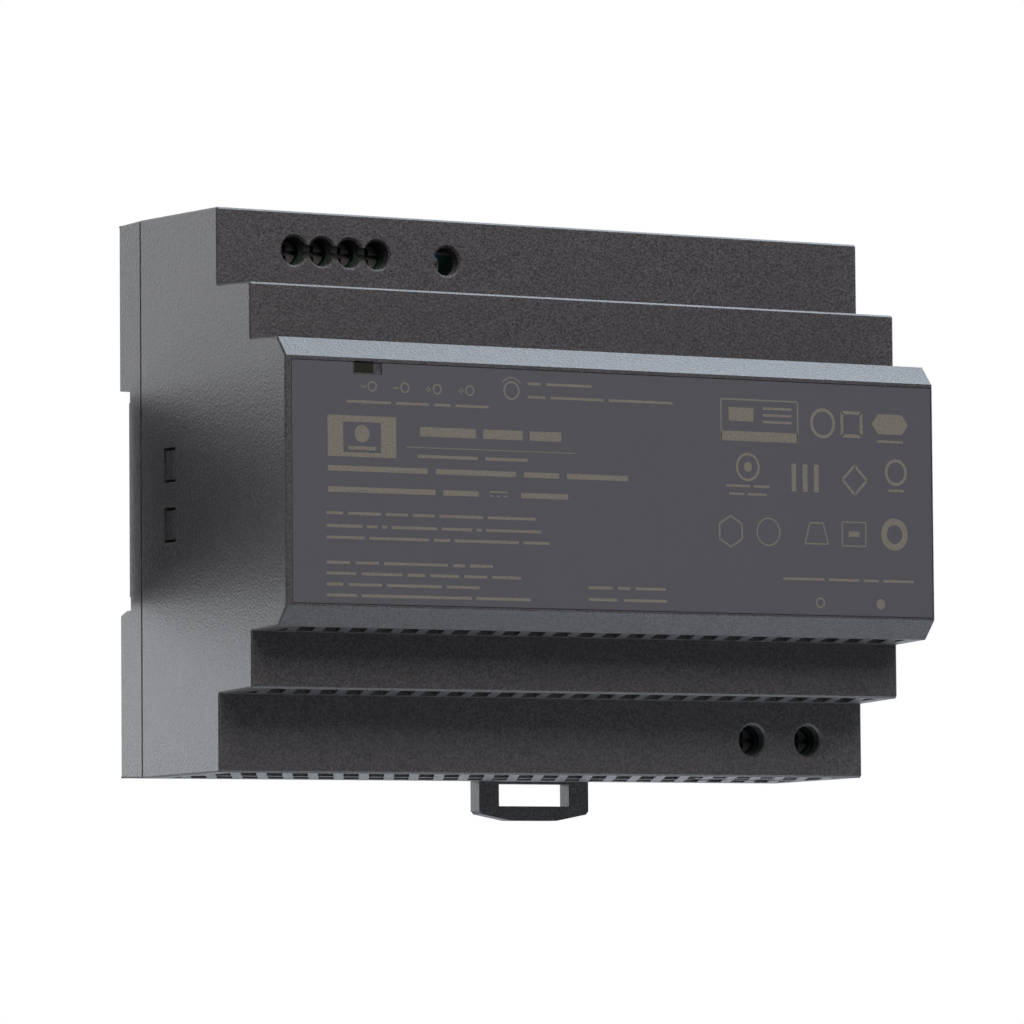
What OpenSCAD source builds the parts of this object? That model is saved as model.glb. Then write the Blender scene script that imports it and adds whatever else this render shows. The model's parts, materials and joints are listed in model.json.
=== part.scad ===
// Stepped rail-mount power supply. Front faces -Y, up is +Z, +X is to the right from the front.
// The origin is the middle of the rail seat, the plane that the rail's front face bears on.

/* [Housing] */
// Width of the housing, in rail modules
modules = 7; // [7:1:9]
// Width of one rail module
module_w = 17.5; // [17.5:0.5:18]
// Full height at the parting line
body_h = 90; // [90:0.5:92]
// Height of the middle step
mid_h = 63.7; // [63:0.1:65]
// Height of the front step, which passes through a distribution board cut-out
front_h = 45; // [45:0.5:46]
// Height of the flat label face
face_h = 38.9; // [38:0.1:40]
// Depth from the rail seat to the terminal face
term_d = 29.5; // [29.5:0.1:30]
// Depth from the rail seat to the middle face
mid_d = 40.1; // [40:0.1:41]
// Depth from the rail seat to where the front bevels start
bevel_d = 48.6; // [48.5:0.1:49]
// Depth from the rail seat to the label face
front_d = 51.2; // [51:0.1:52]
// Depth from the rail seat to the joint between cover and base
parting_d = 4.1; // [4:0.1:4.5]
// Wall thickness of the mouldings
wall = 2; // [1.8:0.1:2]

/* [Rail seat] */
// Height of the rail that the seat takes
rail_h = 35; // [35:0.5:35]
// Depth of the rail channel behind the seat
channel_d = 3.3; // [3.2:0.1:3.6]
// Clearance above and below the rail in its channel
rail_gap = 0.35; // [0.25:0.05:0.5]
// How far the fixed hooks and the latch reach behind the rail's flanges
hook_reach = 1.65; // [1.5:0.05:1.8]

/* [Latch] */
// Latch centre, right of the middle of the housing
latch_x = 15.3; // [10:0.1:18]
// Width of the latch
latch_w = 21.4; // [20:0.1:23]
// Thickness of the latch
latch_t = 2.8; // [2.6:0.05:2.8]
// How far the latch handle reaches below the housing
handle_drop = 6.6; // [6:0.1:8]

/* [Vents] */
// Spacing of the vent slots
vent_pitch = 4.7; // [4.5:0.1:5.2]
// Width of a vent slot
vent_w = 2.85; // [2.4:0.05:3]

/* [Terminals] */
// Spacing of the output poles
dc_pitch = 5.08; // [5:0.01:5.1]
// Number of output poles
dc_poles = 4; // [4:1:4]
// Spacing of the input poles
ac_pitch = 11; // [10:0.1:11.2]
// Height of the output screws above the rail's middle
dc_z = 38.4; // [38.3:0.05:38.4]
// Depth of the input screws below the rail's middle
ac_z = 38.6; // [38.5:0.05:38.6]
// Radius of the output screwdriver holes
dc_hole_r = 2.3; // [2.2:0.05:2.4]
// Radius of the input screwdriver holes
ac_hole_r = 2.5; // [2.4:0.05:2.6]
// Travel of a clamp cage from open to shut
cage_travel = 3; // [2.5:0.1:3]

/* [Hidden] */
$fn = 48;
W = modules*module_w;
hw = W/2;
y1 = -term_d;
y2 = -mid_d;
y3c = -bevel_d;
y3 = -front_d;
yp = -parting_d;
yr = channel_d;
z_part = body_h/2;
z1 = z_part - 0.3;
z_rear = z_part - 0.2;
z2 = mid_h/2;
z2r = z2 + 0.5;
z3 = front_h/2;
z3r = z3 + 0.45;
z3f = face_h/2;
edge = 0.3;
slack = 0.1;
inner_x = hw - wall;
lip_x = inner_x - 1.3;
lip_z = z_part - wall - 1.3;
pcb_front = -8.6;
pcb_t = 1.6;
pcb_x = hw - 4.25;
pcb_z = 41.6;
dc_x = -hw + 21.75;
ac_x = hw - 16.35;
trim_x = -hw + 42.42;
trim_z = 38;
led_x = -hw + 14.2;
led_z = 18.1;
chan_z = rail_h/2 + rail_gap;
seat_z = rail_h/2 - hook_reach - 0.15;
seat_relief = 0.3;
channel_out = 70;
lx = latch_x;
latch_y0 = 0.4;
latch_y1 = latch_y0 + latch_t;
handle_z = -z_rear - handle_drop;
pole_half = 2.4;
entry_y = -16.2;
win_z = 4.8;
win_y0 = -11.6;
win_y1 = -15.6;
win_h = 5.6;

ivory = [0.85, 0.83, 0.76];
plastic = [0.27, 0.27, 0.29];
steel = [0.72, 0.73, 0.75];
brass = [0.78, 0.66, 0.35];
tin = [0.80, 0.80, 0.78];
green = [0.10, 0.35, 0.20];
ferrite = [0.20, 0.20, 0.21];
copper = [0.75, 0.42, 0.22];
alu = [0.75, 0.76, 0.78];
black = [0.08, 0.08, 0.09];

function dc_pole_x(i) = dc_x + (i - (dc_poles - 1)/2)*dc_pitch;
function ac_pole_x(i) = ac_x + (i - 0.5)*ac_pitch;

// Upper half of the outer side outline, from the joint to the front, as [Y, Z].
cover_upper = [
    [yp, z_part], [y1 + edge, z1], [y1, z1 - edge], [y1, z2r],
    [y2 + edge, z2], [y2, z2 - edge], [y2, z3r], [y3c, z3], [y3, z3f]
];

function flipped(p) = [for (i = [len(p) - 1 : -1 : 0]) [p[i][0], -p[i][1]]];

// Extrudes a [Y, Z] outline along X, centred.
module along_x(w) {
    rotate([90, 0, 90])
        linear_extrude(w, center = true)
            children();
}

// Extrudes an [X, Z] outline from y_a forward to y_b, where y_b is the smaller.
module along_y(y_a, y_b) {
    translate([0, y_a, 0])
        rotate([90, 0, 0])
            linear_extrude(y_a - y_b)
                children();
}

module box(x, y, z) {
    translate([x[0], y[0], z[0]])
        cube([x[1] - x[0], y[1] - y[0], z[1] - z[0]]);
}

module rod_y(r, y_a, y_b) {
    translate([0, y_a, 0])
        rotate([90, 0, 0])
            cylinder(r = r, h = y_a - y_b);
}

module rod_z(r, z_a, z_b) {
    translate([0, 0, z_a])
        cylinder(r = r, h = z_b - z_a);
}

module both_z() {
    children();
    mirror([0, 0, 1]) children();
}

module both_x() {
    children();
    mirror([1, 0, 0]) children();
}

// A 45 degree cut of the edge between a side face and the outline's stretch from p to q.
module side_edge_cut(p, q, x_face) {
    dy = q[0] - p[0];
    dz = q[1] - p[1];
    c = 0.28;
    run = norm([dy, dz]);
    translate([0, p[0], p[1]])
        rotate([atan2(-dy, dz), 0, 0])
            linear_extrude(run)
                polygon([
                    [x_face - c, 0], [x_face, -c], [x_face + 0.5, -c],
                    [x_face + 0.5, 0.4], [x_face - c, 0.4]
                ]);
}

// One row of skewed vent slots in plan, between two depths, trimmed at the sides.
module vent_rows(y_a, y_b, skew, margin) {
    run = y_a - y_b;
    n = ceil(W/vent_pitch);
    intersection() {
        translate([-hw + margin, y_b])
            square([W - 2*margin, run]);
        for (i = [-n/2 : n/2])
            polygon([
                [i*vent_pitch - vent_w/2 - skew*run/2, y_b],
                [i*vent_pitch + vent_w/2 - skew*run/2, y_b],
                [i*vent_pitch + vent_w/2 + skew*run/2, y_a],
                [i*vent_pitch - vent_w/2 + skew*run/2, y_a]
            ]);
    }
}

module cover_outside() {
    difference() {
        along_x(W) polygon(concat(cover_upper, flipped(cover_upper)));
        both_x() {
            both_z()
                for (i = [0 : len(cover_upper) - 2])
                    side_edge_cut(cover_upper[i], cover_upper[i + 1], hw);
            side_edge_cut([y3, z3f], [y3, -z3f], hw);
        }
    }
}

module cover_cavity() {
    upper = [
        [yp + 5, z_part - wall], [y1 + wall, z1 - wall], [y1 + wall, z2r - wall],
        [y2 + wall, z2 - wall], [y2 + wall, z3r - wall], [y3c + 0.9, z3 - wall], [y3 + wall, z3f - 1.2]
    ];
    along_x(2*inner_x) polygon(concat(upper, flipped(upper)));
}

module screwdriver_hole(r) {
    rod_y(r, y1 + wall + 0.5, y1 - 1);
    translate([0, y1 + 0.35, 0])
        rotate([90, 0, 0])
            cylinder(r1 = r, r2 = r + 0.45, h = 0.45);
}

// Solid band across the vents where the wires go in, with its entries.
module entry_band(x_mid, half) {
    box([x_mid - half, x_mid + half], [entry_y - 3.4, entry_y + 3.4], [z_part - wall - 0.2, z_part - 0.35]);
}

// Square wire entry through the band, with a lead-in all round.
module wire_entry(half_x, half_y) {
    box([-half_x, half_x], [-half_y, half_y], [z_part - wall - 1, z_part + 1]);
    intersection() {
        along_x(4*half_x)
            lead_in(half_y);
        along_y(4*half_y, -4*half_y)
            lead_in(half_x);
    }
}

module lead_in(half) {
    polygon([
        [-half, z_part - wall], [half, z_part - wall], [half, z_part - 0.95],
        [half + 1.05, z_part + 0.1], [-half - 1.05, z_part + 0.1], [-half, z_part - 0.95]
    ]);
}

module front_cover() {
    color(plastic)
    difference() {
        union() {
            difference() {
                cover_outside();
                cover_cavity();
                both_z() {
                    translate([0, 0, z_part - wall - 0.6])
                        linear_extrude(wall + 1)
                            difference() {
                                vent_rows(-7.4, y1 + 1.2, 0.58, 3.3);
                                translate([-hw, entry_y - 0.9])
                                    square([W, 1.8]);
                            }
                    translate([0, 0, z2 - wall - 0.4])
                        linear_extrude(wall + 1.2)
                            vent_rows(y1 - 1.7, y2 + 1, 0.45, 3.3);
                    translate([0, 0, z3 - wall - 0.2])
                        linear_extrude(wall + 1)
                            vent_rows(y2 - 1.4, y3c + 0.9, 0.45, 3.3);
                }
            }
            intersection() {
                cover_outside();
                union() {
                    entry_band(dc_x, dc_poles*dc_pitch/2 + 0.8);
                    mirror([0, 0, 1])
                        entry_band(ac_x, ac_pitch/2 + 4.6);
                }
            }
        }
        for (i = [0 : dc_poles - 1])
            translate([dc_pole_x(i), 0, dc_z])
                screwdriver_hole(dc_hole_r);
        box([dc_pole_x(0), dc_pole_x(dc_poles - 1)], [y1 - 1, y1 + wall + 0.5], [dc_z - 1.05, dc_z + 1.05]);
        translate([trim_x, 0, trim_z])
            screwdriver_hole(dc_hole_r);
        for (i = [0 : 1])
            translate([ac_pole_x(i), 0, -ac_z])
                screwdriver_hole(ac_hole_r);
        for (i = [0 : dc_poles - 1])
            translate([dc_pole_x(i), entry_y, 0])
                wire_entry(1.7, 1.7);
        mirror([0, 0, 1])
            for (i = [0 : 1])
                translate([ac_pole_x(i), entry_y, 0])
                    wire_entry(2.6, 1.7);
        both_x()
            both_z()
                box([inner_x - 1, hw + 1], [win_y1, win_y0], [win_z - win_h/2, win_z + win_h/2]);
        box([led_x - 1.7, led_x + 1.7], [y3 - 1, y3 + wall + 1], [led_z - 0.9, led_z + 0.9]);
        box([-hw + 1.1, hw - 0.35], [y3 - 1, y3 + 0.25], [-z3f + 0.35, z3f - 0.55]);
        both_x()
            translate([0, yp - 0.2, 0])
                parting_bevel();
    }
}

// Small bevel on the cover's side walls where they meet the base.
module parting_bevel() {
    translate([hw, 0, 0])
        linear_extrude(body_h + 2, center = true)
            polygon([[-0.2, 0.3], [0.1, -0.1], [0.1, 0.3]]);
}

module latch_outline_low(grow) {
    polygon([
        [lx - latch_w/2 - grow, -chan_z - 0.25], [lx + latch_w/2 + grow, -chan_z - 0.25],
        [lx + latch_w/2 + grow, handle_z + 1.6], [lx + latch_w/2 - 0.5 + grow, handle_z + 1.05],
        [lx + 4.5, handle_z], [lx - 4.5, handle_z],
        [lx - latch_w/2 + 0.5 - grow, handle_z + 1.05], [lx - latch_w/2 - grow, handle_z + 1.6]
    ]);
}

latch_window_top = -24;
latch_window_low = -36;
boss_top = -33.2;

module rail_latch() {
    color(plastic)
    difference() {
        union() {
            along_y(latch_y1, latch_y0) latch_outline_low(0);
            box([lx - latch_w/2 - 1.2, lx + latch_w/2 + 1.2], [latch_y0, 1.6], [-41.5, -20]);
            difference() {
                box([lx - 8.5, lx + 8.5], [1.3, latch_y1], [-chan_z - 1, -rail_h/2 + hook_reach - 0.15]);
                translate([lx, latch_y1, -rail_h/2 + hook_reach - 0.15])
                    rotate([45, 0, 0])
                        cube([20, 1.7, 1.7], center = true);
            }
        }
        box([lx - 2.2, lx + 2.2], [-1, 5], [latch_window_low, latch_window_top]);
        box([lx - 6.85, lx + 6.85], [-1, 5], [handle_z + 2.4, handle_z + 6.1]);
    }
    color(plastic)
        translate([lx, 1.75, 0])
            rod_z(0.65, latch_window_top - 1.5, latch_window_top + 0.5);
}

spring_r = 1.3;
wire_r = 0.25;
spring_low = boss_top + 0.02;
spring_high = latch_window_top - 0.02;
spring_turns = 7;

module latch_spring() {
    run = spring_high - spring_low - 2*wire_r;
    steps = spring_turns*12;
    color(steel)
        translate([lx, 1.75, spring_low + wire_r])
            for (i = [0 : steps - 1])
                hull() {
                    spring_bead(i, steps, run);
                    spring_bead(i + 1, steps, run);
                }
}

// Turns are close together at both ends, so that the spring sits flat.
function coil_rise(f) = f < 0.12 ? f*0.35 : f > 0.88 ? 1 - (1 - f)*0.35 : 0.042 + (f - 0.12)*0.916/0.76;

module spring_bead(i, steps, run) {
    translate([0, 0, run*coil_rise(i/steps)])
        rotate([0, 0, i*360*spring_turns/steps])
            translate([spring_r - wire_r, 0, 0])
                rotate([90, 0, 0])
                    cylinder(r = wire_r, h = 0.02, center = true, $fn = 7);
}

base_upper = [[yr, z_rear - edge], [yr - edge, z_rear], [yp, z_part]];

module base_outside() {
    outline = concat(base_upper, flipped(base_upper));
    difference() {
        along_x(W) polygon(outline);
        both_x() {
            both_z()
                side_edge_cut([yr - edge, z_rear], [yp, z_part], hw);
            side_edge_cut([yr, -z_rear + edge], [yr, z_rear - edge], hw);
        }
        both_x()
            translate([0, yp, 0])
                parting_bevel();
    }
}

posts = [[-hw + 8.75, -36.5], [hw - 8.75, 36.5], [-hw + 7.75, 24], [hw - 7.75, -24]];

module snap_arm() {
    box([inner_x - 1.7, inner_x - 0.15], [win_y1 + 0.3, yp + 2.5], [win_z - 2.4, win_z + 2.4]);
    translate([0, 0, win_z])
        linear_extrude(4.7, center = true)
            polygon([
                [inner_x - 0.8, win_y0 - 0.25], [hw - 0.3, win_y0 - 0.25], [hw - 0.3, win_y1 + 1.4],
                [hw - 0.75, win_y1 + 0.3], [inner_x - 0.8, win_y1 + 0.3]
            ]);
}

// Shallow moulded recesses on the back, above and below the rail channel.
module back_pockets() {
    n = 6;
    w = (W - 12)/n - 2.4;
    for (i = [0 : n - 1]) {
        x = -hw + 6 + (i + 0.5)*(W - 12)/n;
        box([x - w/2, x + w/2], [yr - 0.6, yr + 1], [chan_z + 4.5, z_rear - 4]);
        if (x + w/2 < lx - 15 || x - w/2 > lx + 15)
            box([x - w/2, x + w/2], [yr - 0.6, yr + 1], [-z_rear + 4, -chan_z - 4.5]);
    }
}

module rear_base() {
    color(plastic)
    difference() {
        union() {
            difference() {
                base_outside();
                box([-hw - 1, hw + 1], [0, yr + 1], [-chan_z, chan_z]);
                both_z()
                    box([-hw - 1, hw + 1], [-seat_relief, 1], [seat_z, chan_z]);
                translate([0, yr, -chan_z])
                    along_x(W + 2) polygon([[0.1, 0.1], [0.1, -0.9], [-2.7, 0.1]]);
                back_pockets();
            }
            box([-inner_x + slack, inner_x - slack], [yp - 2.2, yp + 1],
                [-z_part + wall + slack, z_part - wall - slack]);
            for (x = [-38, 38])
                box([x - 6, x + 6], [1.3, yr], [chan_z - hook_reach - rail_gap + 0.35, chan_z + 1]);
            both_x()
                both_z()
                    snap_arm();
        }
        difference() {
            union() {
                box([-lip_x, lip_x], [yp - 3, -2], [-lip_z, lip_z]);
                both_z()
                    box([-lip_x, lip_x], [-3, yr - wall], [chan_z + wall, lip_z]);
            }
            box([lx - 13.6, lx + 13.6], [-2.1, yr], [-z_part, -chan_z]);
            for (p = posts)
                translate([p[0], 0, p[1]])
                    rod_y(3.2, yr, pcb_front + pcb_t + 0.02);
        }
        box([lx - latch_w/2 - 0.15, lx + latch_w/2 + 0.15], [0.2, yr + 1], [-z_part - 1, -chan_z + 1]);
        box([lx - latch_w/2 - 1.35, lx + latch_w/2 + 1.35], [0.2, 1.75], [-z_part - 1, -19.85]);
        for (p = posts)
            translate([p[0], 0, p[1]])
                rod_y(1.5, -2.6, pcb_front);
    }
    color(plastic)
        box([lx - 2, lx + 2], [0, 3.1], [latch_window_low + 0.3, boss_top]);
    color(plastic)
        translate([lx, 1.75, 0])
            rod_z(0.65, boss_top - 0.5, boss_top + 2.6);
}

module front_label() {
    color([0.33, 0.32, 0.35])
        difference() {
            box([-hw + 1.2, hw - 0.45], [y3 + 0.05, y3 + 0.25], [-z3f + 0.45, z3f - 0.65]);
            box([led_x - 2, led_x + 3.2], [y3 - 1, y3 + 1], [led_z - 1.15, z3f + 1]);
        }
}

module light_pipe() {
    color([0.75, 0.8, 0.72])
        union() {
            box([led_x - 1.6, led_x + 1.6], [y3 + 0.35, y3 + 4], [led_z - 0.8, led_z + 0.8]);
            box([led_x - 2.2, led_x + 2.2], [y3 + wall + 0.1, y3 + 4], [led_z - 1.7, led_z]);
            box([led_x - 1.3, led_x + 1.3], [y3 + 3.9, pcb_front - 1.6], [led_z - 0.8, led_z + 0.8]);
        }
}

module indicator_lamp() {
    color([0.5, 0.8, 0.4])
        box([led_x - 1.6, led_x + 1.6], [pcb_front - 1.2, pcb_front - 0.02], [led_z - 0.8, led_z + 0.8]);
}

module circuit_board() {
    color(green)
        difference() {
            box([-pcb_x, pcb_x], [pcb_front, pcb_front + pcb_t], [-pcb_z, pcb_z]);
            for (p = posts)
                translate([p[0], 0, p[1]])
                    rod_y(1.6, 0, pcb_front - 1);
            for (i = [0 : dc_poles - 1])
                translate([dc_pole_x(i), 0, dc_z - 3.8])
                    rod_y(0.7, 0, pcb_front - 1);
            for (i = [0 : 1])
                translate([ac_pole_x(i), 0, -ac_z + 3.8])
                    rod_y(0.7, 0, pcb_front - 1);
        }
}

module board_screws() {
    color(steel)
        for (p = posts)
            translate([p[0], 0, p[1]])
                difference() {
                    union() {
                        rod_y(2.8, pcb_front - 0.02, pcb_front - 1.8);
                        rod_y(1.45, -2.8, pcb_front - 1);
                    }
                    box([-1.7, 1.7], [pcb_front - 2, pcb_front - 0.8], [-0.3, 0.3]);
                    box([-0.3, 0.3], [pcb_front - 2, pcb_front - 0.8], [-1.7, 1.7]);
                }
}

module insulation_sheet() {
    color([0.88, 0.87, 0.80])
        difference() {
            box([-pcb_x + 1.5, pcb_x - 1.5], [-2.45, -2.05], [-pcb_z + 1.5, pcb_z - 1.5]);
            for (p = posts)
                translate([p[0], 0, p[1]])
                    rod_y(3.4, 0, -4);
            box([lx - 14, lx + 14], [-3, 0], [-pcb_z, -chan_z + 0.5]);
        }
}

// Housing around one pole: head bore, shoulder, clamp chamber, wire entry and contact slot.
module pole_space(chamber_x, entry_x) {
    rod_y(2.15, -24.1, -28);
    rod_y(1.52, -23, -25);
    box([-chamber_x, chamber_x], [-23.5, -13], [-pole_half, pole_half]);
    box([-entry_x, entry_x], [entry_y - 1.6, entry_y + 1.6], [0, 6]);
    box([-1.3, 1.3], [-18.9, -17.7], [-4.35, 0]);
    box([-0.65, 0.65], [-18.9, -8], [-4.35, -3.25]);
}

module dc_terminal_block() {
    color(green)
        difference() {
            box([dc_x - dc_poles*dc_pitch/2 - 0.45, dc_x + dc_poles*dc_pitch/2 + 0.45],
                [-26.9, pcb_front - 0.05], [dc_z - 5.2, dc_z + 4]);
            for (i = [0 : dc_poles - 1])
                translate([dc_pole_x(i), 0, dc_z])
                    pole_space(2.15, 1.6);
        }
}

module ac_terminal_block() {
    color(green)
        mirror([0, 0, 1])
            difference() {
                box([ac_x - ac_pitch/2 - 4.2, ac_x + ac_pitch/2 + 4.2],
                    [-26.9, pcb_front - 0.05], [ac_z - 5.2, ac_z + 4]);
                for (i = [0 : 1])
                    translate([ac_pole_x(i), 0, ac_z])
                        pole_space(2.75, 2.3);
            }
}

module pole_contact(half) {
    box([-1.2, 1.2], [-18.8, -17.8], [-4.3, half]);
    box([-0.5, 0.5], [-18.8, -5.8], [-4.2, -3.4]);
}

module dc_contacts() {
    color(tin)
        for (i = [0 : dc_poles - 1])
            translate([dc_pole_x(i), 0, dc_z])
                pole_contact(2.2);
}

module ac_contacts() {
    color(tin)
        mirror([0, 0, 1])
            for (i = [0 : 1])
                translate([ac_pole_x(i), 0, ac_z])
                    pole_contact(2.2);
}

module clamp_screw() {
    difference() {
        union() {
            rod_y(1.95, -24.15, -26);
            rod_y(1.45, -18.85, -24.5);
        }
        box([-2.5, 2.5], [-26.5, -25.2], [-0.35, 0.35]);
        box([-0.35, 0.35], [-26.5, -25], [-1.3, 1.3]);
    }
}

module clamp_cage(half) {
    wall_t = 0.65;
    difference() {
        box([-half, half], [-20.4, -13.4], [-2.2, 2.2]);
        box([-half + wall_t, half - wall_t], [-19, -14.6], [-3, 3]);
        rod_y(1.5, -14.65, -21);
    }
}

module dc_screw(i) {
    color(steel)
        translate([dc_pole_x(i), 0, dc_z])
            clamp_screw();
}

module dc_cage(i) {
    color(tin)
        translate([dc_pole_x(i), 0, dc_z])
            clamp_cage(2);
}

module ac_screw(i) {
    color(steel)
        translate([ac_pole_x(i), 0, -ac_z])
            clamp_screw();
}

module ac_cage(i) {
    color(tin)
        translate([ac_pole_x(i), 0, -ac_z])
            clamp_cage(2.6);
}

module dc_screw_1() { dc_screw(0); }
module dc_screw_2() { dc_screw(1); }
module dc_screw_3() { dc_screw(2); }
module dc_screw_4() { dc_screw(3); }
module dc_cage_1() { dc_cage(0); }
module dc_cage_2() { dc_cage(1); }
module dc_cage_3() { dc_cage(2); }
module dc_cage_4() { dc_cage(3); }
module ac_screw_1() { ac_screw(0); }
module ac_screw_2() { ac_screw(1); }
module ac_cage_1() { ac_cage(0); }
module ac_cage_2() { ac_cage(1); }

module trimmer_body() {
    color([0.15, 0.25, 0.5])
        translate([trim_x, 0, trim_z])
            difference() {
                box([-3.3, 3.3], [-20.6, pcb_front - 0.05], [-3.3, 3.3]);
                rod_y(1.25, -17, -22);
                rod_y(2.5, -20, -22);
            }
}

module trimmer_rotor() {
    color([0.9, 0.9, 0.85])
        translate([trim_x, 0, trim_z])
            difference() {
                union() {
                    rod_y(1.9, -20.65, -23.6);
                    rod_y(2.3, -20.1, -20.65 - 0.8);
                    rod_y(1.2, -17.1, -21);
                }
                box([-1.5, 1.5], [-24, -22.7], [-0.3, 0.3]);
                box([-0.3, 0.3], [-24, -22.7], [-1.5, 1.5]);
            }
}

// A box with its four upright edges rounded, standing on the board.
module block(x, z, w, h, top, r) {
    along_y(pcb_front - 0.05, top) {
        translate([x - w/2 + r, z - h/2 + r]) square([w - 2*r, h - 2*r]);
        translate([x - w/2, z - h/2 + r]) square([w, h - 2*r]);
        translate([x - w/2 + r, z - h/2]) square([w - 2*r, h]);
        for (a = [-1, 1])
            for (b = [-1, 1])
                translate([x + a*(w/2 - r), z + b*(h/2 - r)])
                    circle(r = r);
    }
}

module disc_part(x, z, r, t) {
    translate([x, pcb_front - 2 - r, z])
        rotate_extrude() {
            translate([0, -t/2]) square([r - t/3, t]);
            intersection() {
                translate([r - t/2, 0]) circle(r = t/2);
                translate([0, -t/2]) square([r + t, t]);
            }
        }
    for (a = [-1, 1])
        translate([x + a*r*0.5, 0, z])
            rod_y(0.35, pcb_front - 0.05, pcb_front - 4);
}

// An upright can with a rolled groove near its foot and a scored vent on top.
module can(x, z, r, top) {
    foot = pcb_front - 0.05;
    tall = foot - top;
    translate([x, foot, z])
        rotate([90, 0, 0])
            difference() {
                rotate_extrude()
                    polygon([
                        [0, 0], [r - 0.5, 0], [r, 0.5], [r, 1.6], [r - 0.6, 2.1],
                        [r - 0.6, 2.6], [r, 3.1], [r, tall - 0.6], [r - 0.6, tall], [0, tall]
                    ]);
                for (a = [0, 60, 120])
                    rotate([0, 0, a])
                        translate([0, 0, tall])
                            cube([2*r - 3, 0.35, 0.4], center = true);
            }
}

bulk_x = 33.5;
bulk_z = 9.8;

module bulk_capacitor_1() {
    color(black)
        can(bulk_x, bulk_z, 9, -43);
}

module bulk_capacitor_2() {
    color(black)
        can(bulk_x, -bulk_z, 9, -43);
}

tx = 4;

module transformer_core() {
    color(ferrite)
        translate([tx, 0, 0])
            difference() {
                box([-17.5, 17.5], [-42, -12.2], [-7, 7]);
                difference() {
                    box([-13, 13], [-37.5, -16.7], [-8, 8]);
                    rod_y(5.5, -16, -38);
                }
            }
}

module transformer_bobbin() {
    color(ivory)
        translate([tx, 0, 0])
            difference() {
                union() {
                    rod_y(6.5, -16.8, -37.4);
                    rod_y(12.8, -16.8, -17.7);
                    rod_y(12.8, -36.5, -37.4);
                    box([-12.5, 12.5], [-17.7, pcb_front - 0.05], [7.2, 12.8]);
                    box([-12.5, 12.5], [-17.7, pcb_front - 0.05], [-12.8, -7.2]);
                    box([-12.5, 12.5], [-12.1, pcb_front - 0.05], [-8, 8]);
                }
                rod_y(5.6, -16, -38);
            }
}

module transformer_winding() {
    color([0.9, 0.75, 0.2])
        translate([tx, -17.8, 0])
            rotate([90, 0, 0])
                difference() {
                    cylinder(r = 12.2, h = 18.6);
                    translate([0, 0, -1]) cylinder(r = 6.6, h = 21);
                }
}

choke_c = [hw - 9.75, -20.2, 9.5];

module line_choke_core() {
    color(ferrite)
        translate(choke_c)
            rotate([0, 90, 0])
                rotate_extrude()
                    translate([5, -2.6]) square([3.6, 5.2]);
}

module line_choke_base() {
    color(ivory)
        translate([choke_c[0], 0, choke_c[2]])
            box([-4, 4], [-10.6, pcb_front - 0.05], [-8, 8]);
}

// Turns of wire round part of a ring, as separate loops.
module ring_turns(ring_in, ring_out, half, wire, a_from, a_to, n) {
    for (i = [0 : n - 1])
        rotate([0, 0, a_from + (a_to - a_from)*i/(n - 1)])
            rotate([90, 0, 0])
                linear_extrude(wire, center = true)
                    difference() {
                        translate([ring_in - wire - 0.05, -half - wire - 0.05])
                            square([ring_out - ring_in + 2*wire + 0.1, 2*half + 2*wire + 0.1]);
                        translate([ring_in - 0.05, -half - 0.05])
                            square([ring_out - ring_in + 0.1, 2*half + 0.1]);
                    }
}

module line_choke_windings() {
    color(copper)
        translate(choke_c)
            rotate([0, 90, 0]) {
                ring_turns(5, 8.6, 2.6, 0.8, -55, 55, 9);
                ring_turns(5, 8.6, 2.6, 0.8, 125, 235, 9);
            }
}

module line_filter_capacitor() {
    color([0.75, 0.65, 0.15])
        block(hw - 11.5, -9, 8.5, 17.5, -24, 0.8);
}

sink_pz = -26.6;

// Upright plate with a foot and short fins.
module heatsink(x_a, x_b, z_face, z_back, top) {
    box([x_a, x_b], [top, pcb_front - 0.6], [z_back, z_face]);
    step = (x_b - x_a - 1.2)/8;
    for (i = [0 : 8])
        box([x_a + i*step, x_a + i*step + 1.2], [top, -14], [z_back - 1.6, z_back + 0.5]);
}

module heatsink_primary() {
    color(alu)
        difference() {
            heatsink(4, hw - 12.5, -25.2, -28, -34);
            translate([12, -24.2, -30]) rod_z(1.6, 0, 10);
            translate([36, -23.5, -30]) rod_z(1.6, 0, 10);
        }
}

module heatsink_secondary() {
    color(alu)
        difference() {
            heatsink(-48, -17, -25.2, -28, -34);
            translate([-25, -24.2, -30]) rod_z(1.6, 0, 10);
            translate([-40, -24.2, -30]) rod_z(1.6, 0, 10);
        }
}

// Three-lead power package lying against a heatsink face.
module power_package(x, z_face) {
    difference() {
        union() {
            box([x - 5, x + 5], [-27, -13], [z_face + 0.02, z_face + 1.3]);
            box([x - 5, x + 5], [-21, -12], [z_face + 0.02, z_face + 4.4]);
            for (k = [-2.54, 0, 2.54])
                box([x + k - 0.4, x + k + 0.4], [-12.5, pcb_front - 0.05], [z_face + 2, z_face + 2.6]);
        }
        translate([x, -24.2, z_face - 1]) rod_z(1.6, 0, 4);
    }
}

module switching_transistor() {
    color(black)
        power_package(12, -25.2);
}

module output_rectifiers() {
    color(black) {
        power_package(-25, -25.2);
        power_package(-40, -25.2);
    }
}

module bridge_rectifier() {
    color(black)
        difference() {
            union() {
                box([25, 47], [-30, -12.5], [-25.18, -21.6]);
                for (k = [-7.5, -2.5, 2.5, 7.5])
                    box([36 + k - 0.5, 36 + k + 0.5], [-13, pcb_front - 0.05], [-23.8, -23]);
            }
            translate([36, -23.5, -27]) rod_z(1.6, 0, 8);
        }
}

module sink_screw(x, y, head_z) {
    translate([x, y, 0]) {
        rod_z(1.5, -28, head_z + 0.5);
        rod_z(2.7, head_z + 0.02, head_z + 1.8);
    }
}

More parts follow.
